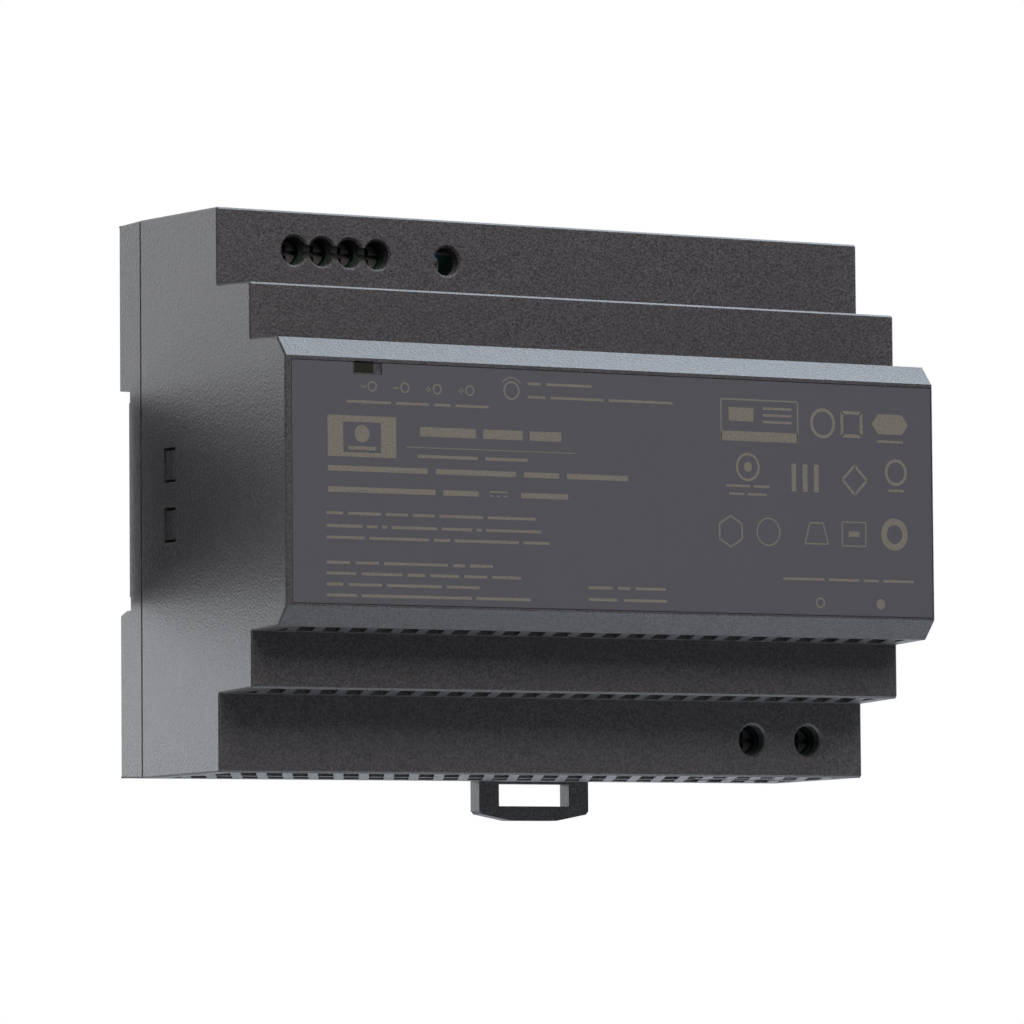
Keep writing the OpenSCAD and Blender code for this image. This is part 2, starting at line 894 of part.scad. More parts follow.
module heatsink_screws() {
    color(steel) {
        sink_screw(12, -24.2, -23.9);
        sink_screw(-25, -24.2, -23.9);
        sink_screw(-40, -24.2, -23.9);
        sink_screw(36, -23.5, -21.6);
    }
}

fuse_x = 22;
fuse_z = -37;

module fuse_tube() {
    color([0.8, 0.85, 0.88])
        translate([fuse_x, -13.2, fuse_z])
            rotate([0, 90, 0])
                difference() {
                    cylinder(r = 2.35, h = 19, center = true);
                    cylinder(r = 1.8, h = 20, center = true);
                }
}

module fuse_end_caps() {
    color(tin)
        for (a = [-1, 1])
            translate([fuse_x + a*8, -13.2, fuse_z]) {
                rotate([0, 90, 0])
                    difference() {
                        cylinder(r = 2.7, h = 5, center = true);
                        translate([0, 0, -a*0.6])
                            cylinder(r = 2.4, h = 5, center = true);
                    }
                box([-0.4, 0.4], [2.5, 4.55], [-0.8, 0.8]);
            }
}

module inrush_thermistor() {
    color([0.12, 0.3, 0.15])
        disc_part(4, -35.5, 5.4, 3.6);
}

module surge_varistor() {
    color([0.1, 0.25, 0.6])
        disc_part(-9, -35.5, 5, 3.4);
}

module isolation_capacitor() {
    color([0.2, 0.4, 0.75])
        disc_part(-2, 27, 4, 3);
}

// Small outline package with gull-wing leads along both sides.
module chip(x, z, w, h, t, n) {
    box([x - w/2, x + w/2], [pcb_front - t - 0.2, pcb_front - 0.2], [z - h/2, z + h/2]);
    pitch = w/n;
    for (i = [0 : n - 1])
        for (s = [-1, 1])
            translate([x + (i - (n - 1)/2)*pitch, pcb_front - 0.35, z + s*(h/2 + 0.4)])
                cube([0.5, 0.6, 1.4], center = true);
}

module controller_chip() {
    color(black)
        chip(-2, -18.5, 5, 4, 1.5, 4);
}

module optocoupler() {
    color(black)
        chip(-13.5, 29, 5, 6.4, 3.2, 2);
}

module output_choke_core() {
    color([0.75, 0.7, 0.3])
        translate([-40, -13.8, -10])
            rotate([90, 0, 0])
                rotate_extrude()
                    translate([4.6, -3.4]) square([4, 6.8]);
}

module output_choke_winding() {
    color(copper)
        translate([-40, -13.8, -10])
            rotate([90, 0, 0])
                ring_turns(4.6, 8.6, 3.4, 0.9, 0, 330, 20);
}

module output_capacitors() {
    color(black) {
        can(-22.5, -12.8, 6.1, -34);
        can(-22.5, 1, 6.1, -34);
        can(-22.5, 14.8, 6.1, -34);
        can(-37.2, 8.4, 6.1, -34);
    }
}

front_cover();
rear_base();
rail_latch();
latch_spring();
front_label();
light_pipe();
indicator_lamp();
circuit_board();
board_screws();
insulation_sheet();
dc_terminal_block();
dc_contacts();
dc_screw_1();
dc_screw_2();
dc_screw_3();
dc_screw_4();
dc_cage_1();
dc_cage_2();
dc_cage_3();
dc_cage_4();
ac_terminal_block();
ac_contacts();
ac_screw_1();
ac_screw_2();
ac_cage_1();
ac_cage_2();
trimmer_body();
trimmer_rotor();
bulk_capacitor_1();
bulk_capacitor_2();
transformer_core();
transformer_bobbin();
transformer_winding();
line_choke_core();
line_choke_base();
line_choke_windings();
line_filter_capacitor();
heatsink_primary();
heatsink_secondary();
switching_transistor();
output_rectifiers();
bridge_rectifier();
heatsink_screws();
fuse_tube();
fuse_end_caps();
inrush_thermistor();
surge_varistor();
isolation_capacitor();
controller_chip();
optocoupler();
output_choke_core();
output_choke_winding();
output_capacitors();
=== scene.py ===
import json
import math

import bmesh
import bpy
from mathutils import Euler, Matrix, Vector


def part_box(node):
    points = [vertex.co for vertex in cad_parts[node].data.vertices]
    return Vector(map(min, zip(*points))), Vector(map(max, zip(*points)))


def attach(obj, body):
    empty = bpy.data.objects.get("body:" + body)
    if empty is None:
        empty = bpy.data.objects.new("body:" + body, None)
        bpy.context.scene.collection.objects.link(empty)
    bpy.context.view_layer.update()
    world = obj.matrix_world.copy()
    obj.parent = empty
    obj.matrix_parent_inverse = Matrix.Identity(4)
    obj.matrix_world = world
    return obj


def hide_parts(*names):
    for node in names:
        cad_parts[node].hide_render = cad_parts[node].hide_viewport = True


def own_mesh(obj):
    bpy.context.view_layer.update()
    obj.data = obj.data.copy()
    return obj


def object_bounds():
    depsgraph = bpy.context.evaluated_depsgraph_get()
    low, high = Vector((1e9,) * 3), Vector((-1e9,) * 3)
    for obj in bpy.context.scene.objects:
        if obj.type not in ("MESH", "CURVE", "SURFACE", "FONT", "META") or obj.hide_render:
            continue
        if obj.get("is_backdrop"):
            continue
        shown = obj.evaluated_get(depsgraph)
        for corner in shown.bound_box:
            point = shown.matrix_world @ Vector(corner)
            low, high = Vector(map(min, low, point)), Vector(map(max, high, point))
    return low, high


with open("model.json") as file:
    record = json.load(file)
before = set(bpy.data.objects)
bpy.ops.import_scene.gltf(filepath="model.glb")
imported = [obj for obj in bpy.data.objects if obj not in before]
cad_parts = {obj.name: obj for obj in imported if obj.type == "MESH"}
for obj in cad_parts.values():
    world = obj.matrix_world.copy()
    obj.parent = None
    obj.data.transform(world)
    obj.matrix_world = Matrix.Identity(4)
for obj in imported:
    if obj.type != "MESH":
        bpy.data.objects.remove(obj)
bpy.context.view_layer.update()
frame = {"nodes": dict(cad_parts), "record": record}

MM = 0.001
nodes = frame["nodes"]


# ---------------------------------------------------------------- material building blocks

class Surface:
    """A material under construction: one Principled shader, textured in the object's own millimetres."""

    def __init__(self, name, metallic=0.0, ior=1.5, coat=0.0, coat_roughness=0.1):
        self.material = bpy.data.materials.new(name)
        self.material.use_nodes = True
        self.tree = self.material.node_tree
        self.tree.nodes.clear()
        self.shader = self.add("ShaderNodeBsdfPrincipled")
        output = self.add("ShaderNodeOutputMaterial")
        self.tree.links.new(self.shader.outputs["BSDF"], output.inputs["Surface"])
        self.shader.inputs["Metallic"].default_value = metallic
        self.shader.inputs["IOR"].default_value = ior
        self.shader.inputs["Coat Weight"].default_value = coat
        self.shader.inputs["Coat Roughness"].default_value = coat_roughness
        coordinates = self.add("ShaderNodeTexCoord").outputs["Object"]
        self.mm = self.vector("MULTIPLY", coordinates, (1000, 1000, 1000))
        self.normal = None

    def add(self, kind, **settings):
        node = self.tree.nodes.new(kind)
        for key, value in settings.items():
            setattr(node, key, value)
        return node

    def put(self, socket, value):
        if isinstance(value, bpy.types.NodeSocket):
            self.tree.links.new(value, socket)
        else:
            socket.default_value = value

    def vector(self, operation, a, b):
        node = self.add("ShaderNodeVectorMath", operation=operation)
        self.put(node.inputs[0], a)
        self.put(node.inputs[1], b)
        return node.outputs["Value" if operation == "DOT_PRODUCT" else "Vector"]

    def math(self, operation, a, b=0.0):
        node = self.add("ShaderNodeMath", operation=operation)
        self.put(node.inputs[0], a)
        self.put(node.inputs[1], b)
        return node.outputs[0]

    def stretched(self, factors):
        return self.vector("MULTIPLY", self.mm, factors)

    def noise(self, scale, detail=2.0, roughness=0.5, at=None, distortion=0.0):
        node = self.add("ShaderNodeTexNoise")
        self.put(node.inputs["Vector"], at or self.mm)
        node.inputs["Scale"].default_value = scale
        node.inputs["Detail"].default_value = detail
        node.inputs["Roughness"].default_value = roughness
        node.inputs["Distortion"].default_value = distortion
        return node.outputs["Fac"]

    def cells(self, scale):
        node = self.add("ShaderNodeTexVoronoi")
        self.put(node.inputs["Vector"], self.mm)
        node.inputs["Scale"].default_value = scale
        return node.outputs["Distance"]

    def wave(self, scale, axis, distortion):
        node = self.add("ShaderNodeTexWave", bands_direction=axis, wave_profile="SIN")
        self.put(node.inputs["Vector"], self.mm)
        node.inputs["Scale"].default_value = scale
        node.inputs["Distortion"].default_value = distortion
        return node.outputs["Fac"]

    def span(self, value, low, high, to_low=0.0, to_high=1.0):
        node = self.add("ShaderNodeMapRange")
        self.put(node.inputs["Value"], value)
        for key, number in (("From Min", low), ("From Max", high), ("To Min", to_low), ("To Max", to_high)):
            node.inputs[key].default_value = number
        return node.outputs["Result"]

    def blend(self, factor, a, b):
        node = self.add("ShaderNodeMix", data_type="RGBA")
        self.put(node.inputs["Factor"], factor)
        self.put(node.inputs[6], a if isinstance(a, bpy.types.NodeSocket) else (*a, 1))
        self.put(node.inputs[7], b if isinstance(b, bpy.types.NodeSocket) else (*b, 1))
        return node.outputs[2]

    def edges(self, radius_mm, reach=0.12):
        """1 on sharp outside and inside edges, 0 on open faces."""
        bevel = self.add("ShaderNodeBevel", samples=4)
        bevel.inputs["Radius"].default_value = radius_mm * MM
        flat = self.add("ShaderNodeNewGeometry").outputs["True Normal"]
        return self.span(self.vector("DOT_PRODUCT", bevel.outputs["Normal"], flat), 1.0, 1.0 - reach)

    def bump(self, height, depth_mm, strength=1.0):
        node = self.add("ShaderNodeBump")
        node.inputs["Strength"].default_value = strength
        node.inputs["Distance"].default_value = depth_mm * MM
        self.put(node.inputs["Height"], height)
        if self.normal is not None:
            self.put(node.inputs["Normal"], self.normal)
        self.normal = node.outputs["Normal"]

    def finish(self, colour, roughness):
        self.put(self.shader.inputs["Base Color"], colour)
        self.put(self.shader.inputs["Roughness"], roughness)
        if self.normal is not None:
            self.put(self.shader.inputs["Normal"], self.normal)
        return self.material


def scaled(colour, factor):
    return tuple(min(1.0, c * factor) for c in colour)


def moulded(name, colour, roughness=0.5, grain=2.6, grain_depth=0.10, contrast=0.55, edge=1.35, coat=0.0):
    """Injection-moulded plastic: spark-eroded grain, slow tone drift, faint scuffs and paler rubbed edges."""
    s = Surface(name, coat=coat, coat_roughness=0.3)
    fine = s.noise(grain, detail=3.0, roughness=0.6)
    pits = s.cells(grain * 0.9)
    drift = s.noise(0.035, detail=3.0)
    scuffs = s.noise(0.5, detail=5.0, roughness=0.7, at=s.stretched((1.0, 1.0, 0.22)))
    tone = s.blend(s.span(fine, 0.34, 0.66), scaled(colour, 1 - contrast), scaled(colour, 1 + contrast))
    tone = s.blend(s.span(drift, 0.35, 0.65, 0.0, 0.3), tone, scaled(colour, 0.9))
    tone = s.blend(s.span(scuffs, 0.60, 0.78, 0.0, 0.18), tone, scaled(colour, 1.25))
    rubbed = s.math("MULTIPLY", s.edges(0.22), s.span(fine, 0.2, 0.8, 0.25, 0.8))
    tone = s.blend(rubbed, tone, scaled(colour, edge))
    s.bump(s.math("ADD", fine, s.math("MULTIPLY", pits, 0.4)), grain_depth, 0.8)
    s.bump(s.noise(0.12, detail=2.0), 0.05, 0.25)
    rough = s.math("ADD", s.span(fine, 0.25, 0.75, roughness - 0.06, roughness + 0.06),
                   s.span(scuffs, 0.60, 0.78, 0.0, -0.07))
    return s.finish(tone, rough)


def metal(name, colour, roughness=0.3, along=(1.0, 1.0, 0.03), dull=0.75, pit=0.15):
    """Plated or extruded metal: drawn or brushed streaks, dull patches and small pits."""
    s = Surface(name, metallic=1.0)
    streaks = s.noise(6.0, detail=4.0, roughness=0.7, at=s.stretched(along))
    patches = s.noise(0.4, detail=4.0, roughness=0.6)
    pits = s.span(s.cells(1.7), 0.0, pit, 1.0, 0.0)
    tone = s.blend(s.span(streaks, 0.3, 0.7), scaled(colour, 0.9), scaled(colour, 1.06))
    tone = s.blend(s.span(patches, 0.45, 0.7, 0.0, 0.7), tone, scaled(colour, dull))
    tone = s.blend(s.math("MULTIPLY", pits, 0.5), tone, scaled(colour, 0.5))
    s.bump(streaks, 0.012, 0.5)
    s.bump(s.math("MULTIPLY", pits, -1.0), 0.03, 0.5)
    rough = s.math("ADD", s.span(streaks, 0.3, 0.7, roughness - 0.06, roughness + 0.08),
                   s.span(patches, 0.45, 0.7, 0.0, 0.14))
    return s.finish(tone, rough)


def coated(name, colour, roughness=0.22, ripple=0.05, speck=0.12):
    """A dipped or shrink-wrapped coating: slow ripples, fine specks and a clear gloss."""
    s = Surface(name, coat=0.35, coat_roughness=0.12)
    ripples = s.noise(0.5, detail=2.0, distortion=0.6)
    specks = s.noise(3.2, detail=4.0, roughness=0.65)
    tone = s.blend(s.span(specks, 0.3, 0.7), scaled(colour, 1 - speck), scaled(colour, 1 + speck))
    tone = s.blend(s.span(ripples, 0.4, 0.7, 0.0, 0.4), tone, scaled(colour, 0.82))
    s.bump(ripples, ripple, 0.6)
    s.bump(specks, 0.01, 0.4)
    return s.finish(tone, s.span(specks, 0.3, 0.7, roughness - 0.05, roughness + 0.08))


def wound(name, colour, pitch, axis):
    """Enamelled wire or tape laid side by side along one axis."""
    s = Surface(name, coat=0.4, coat_roughness=0.15)
    wander = s.noise(0.3, detail=2.0)
    turns = s.wave(1.0 / pitch / 2.0, axis=axis, distortion=0.35)
    tone = s.blend(s.span(turns, 0.15, 0.9), scaled(colour, 0.5), scaled(colour, 1.1))
    tone = s.blend(s.span(wander, 0.4, 0.7, 0.0, 0.45), tone, scaled(colour, 0.75))
    s.bump(turns, 0.16, 0.8)
    s.bump(s.noise(5.0, detail=3.0), 0.01, 0.4)
    return s.finish(tone, s.span(wander, 0.3, 0.7, 0.24, 0.4))


def sintered(name, colour, chips=0.25):
    """Ferrite or pressed powder: mineral grain, small chips and a matt bloom."""
    s = Surface(name)
    grain = s.noise(4.0, detail=5.0, roughness=0.75)
    chipped = s.span(s.cells(0.8), 0.0, chips, 1.0, 0.0)
    bloom = s.noise(0.25, detail=3.0)
    tone = s.blend(s.span(grain, 0.25, 0.75), scaled(colour, 0.72), scaled(colour, 1.35))
    tone = s.blend(s.span(bloom, 0.5, 0.75, 0.0, 0.35), tone, scaled(colour, 1.6))
    tone = s.blend(s.math("MULTIPLY", chipped, 0.4), tone, scaled(colour, 0.6))
    s.bump(grain, 0.04, 0.7)
    s.bump(s.math("MULTIPLY", chipped, -1.0), 0.08, 0.4)
    return s.finish(tone, s.span(grain, 0.2, 0.8, 0.5, 0.78))


def solder_mask(name, colour):
    """Circuit board: glossy solder mask over tracks that run square to each other."""
    s = Surface(name, coat=0.5, coat_roughness=0.15)
    tracks = s.add("ShaderNodeTexBrick", offset=0.35, squash=1.0)
    s.put(tracks.inputs["Vector"], s.stretched((1.0, 0.0, 1.0)))
    tracks.inputs["Scale"].default_value = 0.16
    tracks.inputs["Mortar Size"].default_value = 0.035
    weave = s.noise(3.0, detail=2.0)
    lines = s.span(tracks.outputs["Fac"], 0.0, 1.0)
    tone = s.blend(lines, colour, scaled(colour, 1.8))
    tone = s.blend(s.span(weave, 0.35, 0.7, 0.0, 0.3), tone, scaled(colour, 0.7))
    s.bump(lines, 0.04, 0.7)
    s.bump(weave, 0.01, 0.5)
    return s.finish(tone, s.span(weave, 0.3, 0.7, 0.25, 0.4))


def clear(name, tint, roughness):
    """Clear moulding or tube with faint flow lines."""
    s = Surface(name, ior=1.49)
    s.shader.inputs["Transmission Weight"].default_value = 0.85
    flow = s.noise(0.8, detail=3.0, at=s.stretched((1.0, 0.25, 1.0)))
    tone = s.blend(s.span(flow, 0.35, 0.65), scaled(tint, 0.9), tint)
    s.bump(flow, 0.02, 0.4)
    return s.finish(tone, s.span(flow, 0.3, 0.7, roughness, roughness + 0.08))


def film(name, colour):
    """Printed polyester label: even satin face with very fine grain and slow flatness ripple."""
    s = Surface(name)
    fine = s.noise(7.0, detail=2.0)
    drift = s.noise(0.03, detail=3.0)
    rub = s.noise(0.9, detail=5.0, roughness=0.75, at=s.stretched((0.35, 1.0, 1.0)))
    tone = s.blend(s.span(fine, 0.3, 0.7), scaled(colour, 0.965), scaled(colour, 1.035))
    tone = s.blend(s.span(drift, 0.35, 0.65, 0.0, 0.25), tone, scaled(colour, 0.95))
    tone = s.blend(s.span(rub, 0.64, 0.8, 0.0, 0.12), tone, scaled(colour, 1.25))
    tone = s.blend(s.math("MULTIPLY", s.edges(0.18), 0.7), tone, scaled(colour, 0.5))
    s.bump(fine, 0.006, 0.35)
    s.bump(drift, 0.3, 0.15)
    return s.finish(tone, s.span(rub, 0.5, 0.8, 0.56, 0.44))


def ink(name, colour):
    """Screen-printed ink, a little thin and broken in places."""
    s = Surface(name)
    thin = s.noise(3.4, detail=4.0, roughness=0.7)
    tone = s.blend(s.span(thin, 0.34, 0.66), scaled(colour, 0.62), scaled(colour, 1.12))
    s.bump(thin, 0.008, 0.5)
    return s.finish(tone, s.span(thin, 0.3, 0.7, 0.45, 0.62))


def fibre(name, colour):
    """Pressed fibre sheet."""
    s = Surface(name)
    threads = s.noise(1.6, detail=5.0, roughness=0.7, at=s.stretched((0.25, 1.0, 1.0)))
    crossed = s.noise(1.6, detail=5.0, roughness=0.7, at=s.stretched((1.0, 1.0, 0.25)))
    both = s.math("MAXIMUM", threads, crossed)
    tone = s.blend(s.span(both, 0.45, 0.75), scaled(colour, 0.85), scaled(colour, 1.05))
    s.bump(both, 0.05, 0.6)
    return s.finish(tone, s.span(both, 0.4, 0.8, 0.62, 0.8))


HOUSING = (0.062, 0.0565, 0.0590)
LABEL = (0.083, 0.0805, 0.093)

materials = {
    "housing_plastic": moulded("housing_plastic", HOUSING, roughness=0.46),
    "latch_plastic": moulded("latch_plastic", (0.046, 0.042, 0.044), roughness=0.44, grain=2.2),
    "spring_steel": metal("spring_steel", (0.52, 0.53, 0.55), roughness=0.25, along=(1.0, 1.0, 1.0)),
    "label_film": film("label_film", LABEL),
    "light_pipe_clear": clear("light_pipe_clear", (0.15, 0.16, 0.11), 0.12),
    "lamp_green": coated("lamp_green", (0.30, 0.50, 0.20), roughness=0.2),
    "board_green": solder_mask("board_green", (0.002, 0.011, 0.006)),
    # zinc_steel: the screws' colour is darkened far below plated steel; this is painted shade of the deep
    # terminal holes
    "zinc_steel": metal("zinc_steel", (0.13, 0.125, 0.12), roughness=0.42, along=(0.3, 1.0, 1.0)),
    "fibre_sheet": fibre("fibre_sheet", (0.62, 0.58, 0.46)),
    "terminal_green": moulded("terminal_green", (0.005, 0.018, 0.009), roughness=0.45, grain=1.8),
    "tin_plate": metal("tin_plate", (0.66, 0.65, 0.62), roughness=0.3, along=(1.0, 0.1, 1.0)),
    "trimmer_blue": moulded("trimmer_blue", (0.012, 0.035, 0.20), roughness=0.35, grain=1.5),
    "trimmer_white": moulded("trimmer_white", (0.66, 0.65, 0.58), roughness=0.45, grain=2.0, contrast=0.06,
                             edge=1.1),
    "capacitor_black": coated("capacitor_black", (0.012, 0.013, 0.016), roughness=0.22),
    "ferrite_grey": sintered("ferrite_grey", (0.040, 0.040, 0.044)),
    "bobbin_ivory": moulded("bobbin_ivory", (0.60, 0.55, 0.42), roughness=0.45, contrast=0.06, edge=1.1),
    "winding_tape": wound("winding_tape", (0.60, 0.40, 0.035), 3.0, "Y"),
    "enamel_copper": wound("enamel_copper", (0.42, 0.13, 0.035), 0.8, "Z"),
    "film_yellow": coated("film_yellow", (0.55, 0.36, 0.03), roughness=0.25),
    "heatsink_aluminium": metal("heatsink_aluminium", (0.72, 0.73, 0.74), roughness=0.34,
                                along=(0.05, 1.0, 1.0)),
    "package_black": moulded("package_black", (0.014, 0.014, 0.015), roughness=0.5, grain=3.0),
    "fuse_glass": clear("fuse_glass", (0.90, 0.94, 0.94), 0.03),
    "thermistor_green": coated("thermistor_green", (0.016, 0.065, 0.022), roughness=0.3, ripple=0.1),
    "ceramic_blue": coated("ceramic_blue", (0.014, 0.045, 0.26), roughness=0.28, ripple=0.1),
    "powder_core": sintered("powder_core", (0.42, 0.34, 0.06)),
}
INK = ink("label_ink", (0.21, 0.19, 0.155))


def paint_frame():
    """Gives every carried-over CAD node the material of its slot in the record."""
    for part in frame["record"]["subparts"]:
        piece = nodes[part["node"]]
        for slot in piece.material_slots:
            slot.material = materials[part["material_slot"]]


# ---------------------------------------------------------------- printed marks on the label

class Marks:
    """Flat printed shapes on the label, in millimetres across and up from the middle of the housing."""

    THICKNESS = 0.012

    def __init__(self):
        self.mesh = bmesh.new()
        self.face_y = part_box("front_label")[0].y / MM

    def outline(self, points):
        """A filled shape, given by its corners in order."""
        front = [self.mesh.verts.new((x, self.face_y - self.THICKNESS, z)) for x, z in points]
        back = [self.mesh.verts.new((x, self.face_y + 0.02, z)) for x, z in points]
        area = sum(x0 * z1 - x1 * z0 for (x0, z0), (x1, z1) in zip(points, points[1:] + points[:1]))
        if area < 0:
            front.reverse()
            back.reverse()
        self.mesh.faces.new(front)
        self.mesh.faces.new(list(reversed(back)))
        for i in range(len(front)):
            j = (i + 1) % len(front)
            self.mesh.faces.new((front[j], front[i], back[i], back[j]))

    def bar(self, x0, x1, z, height):
        self.outline([(x0, z - height / 2), (x1, z - height / 2), (x1, z + height / 2), (x0, z + height / 2)])

    def stroke(self, a, b, width):
        """A straight line from a to b."""
        dx, dz = b[0] - a[0], b[1] - a[1]
        length = math.hypot(dx, dz)
        ox, oz = -dz / length * width / 2, dx / length * width / 2
        self.outline([(a[0] + ox, a[1] + oz), (a[0] - ox, a[1] - oz),
                      (b[0] - ox, b[1] - oz), (b[0] + ox, b[1] + oz)])

    def path(self, points, width, closed=False):
        ends = points[1:] + (points[:1] if closed else [])
        for a, b in zip(points, ends):
            self.stroke(a, b, width)

    def disc(self, x, z, radius, sides=28):
        self.outline([(x + radius * math.cos(t), z + radius * math.sin(t))
                      for t in (2 * math.pi * i / sides for i in range(sides))])

    def ring(self, x, z, radius, width, start=0.0, end=360.0, steps=32):
        """An arc of constant width, counter-clockwise between two angles in degrees."""
        for i in range(steps):
            a0 = math.radians(start + (end - start) * i / steps)
            a1 = math.radians(start + (end - start) * (i + 1) / steps)
            inner, outer = radius - width / 2, radius + width / 2
            self.outline([(x + r * math.cos(a), z + r * math.sin(a))
                          for r, a in ((inner, a0), (outer, a0), (outer, a1), (inner, a1))])

    def regular(self, x, z, radius, sides, width, turn=90.0):
        """The outline of a regular polygon."""
        angles = [math.radians(turn + 360 * i / sides) for i in range(sides)]
        self.path([(x + radius * math.cos(a), z + radius * math.sin(a)) for a in angles], width, closed=True)

    def rectangle(self, x0, x1, z0, z1, width):
        self.path([(x0, z0), (x1, z0), (x1, z1), (x0, z1)], width, closed=True)

    def row(self, x0, x1, z, height, words):
        """A line of plain bars in place of small print, one bar for each word, sized by its length."""
        cell = (x1 - x0) / (sum(words) + 0.9 * (len(words) - 1))
        x = x0
        for count in words:
            self.bar(x, x + cell * count, z, height)
            x += cell * (count + 0.9)

    def piece(self, name, material, body):
        for v in self.mesh.verts:
            v.co *= MM
        data = bpy.data.meshes.new(name)
        self.mesh.to_mesh(data)
        self.mesh.free()
        data.materials.append(material)
        made = bpy.data.objects.new(name, data)
        bpy.context.scene.collection.objects.link(made)
        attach(made, body)
        return made


def sign(marks, x, z, plus):
    """One output pole: its sign and a small terminal ring."""
    marks.bar(x - 1.5, x - 0.5, z - 0.1, 0.22)
    if plus:
        marks.bar(x - 1.11, x - 0.89, z - 0.1, 1.0)
    marks.ring(x + 0.6, z, 0.72, 0.24, steps=20)


def terminal_marks():
    marks = Marks()
    for x, plus in ((-46.2, False), (-40.3, False), (-34.4, True), (-28.4, True)):
        sign(marks, x, 15.1, plus)
    marks.row(-50.3, -24.4, 12.6, 0.42, (8, 6, 3, 6))
    # trimmer: a ring with a travel arc
    marks.ring(-20.1, 15.4, 1.35, 0.3)
    marks.ring(-20.1, 15.4, 2.05, 0.2, 35, 145, steps=14)
    marks.row(-17.1, -5.1, 16.6, 0.42, (2, 7))
    marks.row(-17.1, 10.2, 14.5, 0.42, (3, 9, 11))
    # mains poles: a ring and a dot
    marks.row(31.3, 57.0, -13.2, 0.42, (8, 6, 3, 6))
    marks.ring(38.5, -17.0, 0.75, 0.3, steps=20)
    marks.disc(50.4, -17.0, 0.85)
    return marks.piece("terminal_marks", INK, "housing")


def rating_marks():
    marks = Marks()
    # emblem: a solid block with a round window over a bar
    marks.bar(-53.7, -41.3, 9.9, 1.0)
    marks.bar(-53.7, -41.3, 4.3, 0.7)
    marks.bar(-53.7, -50.9, 7.025, 4.75)
    marks.bar(-44.1, -41.3, 7.025, 4.75)
    marks.disc(-47.5, 7.6, 1.35)
    marks.bar(-50.0, -45.0, 5.35, 0.55)
    # title: one bold row over a rule
    marks.row(-37.0, -10.9, 8.3, 1.5, (7, 5, 4))
    marks.bar(-39.5, -8.2, 5.8, 0.14)
    marks.row(-37.4, -17.2, 4.4, 0.5, (7, 5))
    # ratings: two heavier rows
    marks.row(-53.7, 1.6, 2.1, 0.85, (11, 9, 4, 7))
    marks.row(-53.7, -26.3, -1.2, 0.85, (12, 4))
    marks.bar(-24.3, -21.0, -0.8, 0.22)
    for x in (-24.3, -23.0, -21.7):
        marks.bar(x, x + 0.7, -1.45, 0.22)
    marks.row(-18.4, -9.7, -1.2, 0.85, (5,))
    # notes and address: small rows
    for x_end, z, words in ((-15.7, -4.9, (3, 6, 4, 4, 8, 9)), (-14.8, -6.9, (7, 2, 1, 9, 6, 1, 11)),
                            (-13.2, -8.7, (7, 11, 3, 12, 5))):
        marks.row(-54.0, x_end, z, 0.45, words)
    for x_end, z, words in ((-23.8, -12.6, (4, 4, 11, 2, 4)), (-18.6, -14.3, (5, 7, 3, 5, 4, 5)),
                            (-26.3, -16.0, (3, 6, 10, 6)), (-16.9, -17.7, (6, 22, 11))):
        marks.row(-54.0, x_end, z, 0.45, words)
    marks.row(-6.0, 8.6, -15.5, 0.45, (4, 2, 5))
    marks.row(-6.0, 8.8, -17.4, 0.45, (4, 6))
    return marks.piece("rating_marks", INK, "housing")


def symbol_marks():
    """Plain shapes in the places of approval marks."""
    marks = Marks()
    # first row: a two-part panel, a ring, a square and a solid lozenge
    marks.rectangle(19.5, 34.4, 9.0, 15.6, 0.26)
    marks.bar(19.5, 34.4, 9.8, 1.3)
    marks.bar(21.0, 25.8, 13.2, 2.2)
    for z in (14.3, 13.2, 12.1):
        marks.bar(27.6, 33.2, z, 0.4)
    marks.ring(39.3, 12.3, 2.2, 0.55)
    marks.rectangle(43.1, 46.9, 10.4, 14.2, 0.55)
    marks.outline([(50.2, 14.2), (55.0, 14.2), (56.2, 12.5), (55.0, 10.9), (50.2, 10.9), (49.0, 12.5)])
    marks.bar(50.0, 55.2, 9.7, 0.4)
    # second row: a solid dot in a ring, three upright bars, a diamond and a plain ring
    marks.ring(24.6, 4.7, 2.1, 0.42)
    marks.disc(24.6, 4.7, 0.8)
    marks.row(20.4, 28.8, 1.6, 0.4, (6, 4))
    marks.row(21.0, 28.2, 0.3, 0.4, (4, 5))
    for x in (33.1, 35.3, 37.5):
        marks.outline([(x, 1.0), (x + 0.9, 1.0), (x + 0.9, 5.5), (x, 5.5)])
    marks.regular(45.5, 3.2, 2.4, 4, 0.45)
    marks.ring(53.7, 4.7, 1.95, 0.5)
    marks.bar(52.2, 55.2, 1.7, 0.4)
    # third row: a hexagon, a ring, a trapezium, a square and a heavy ring
    marks.regular(21.2, -5.8, 2.5, 6, 0.3)
    marks.ring(28.5, -5.7, 2.2, 0.25)
    marks.path([(35.6, -7.4), (36.6, -4.0), (39.2, -4.0), (40.2, -7.4)], 0.25, closed=True)
    marks.rectangle(42.9, 47.6, -7.6, -3.7, 0.22)
    marks.bar(44.2, 46.3, -5.65, 0.9)
    marks.ring(53.3, -5.5, 2.1, 1.1)
    return marks.piece("symbol_marks", INK, "housing")


# ---------------------------------------------------------------- smooth latch spring

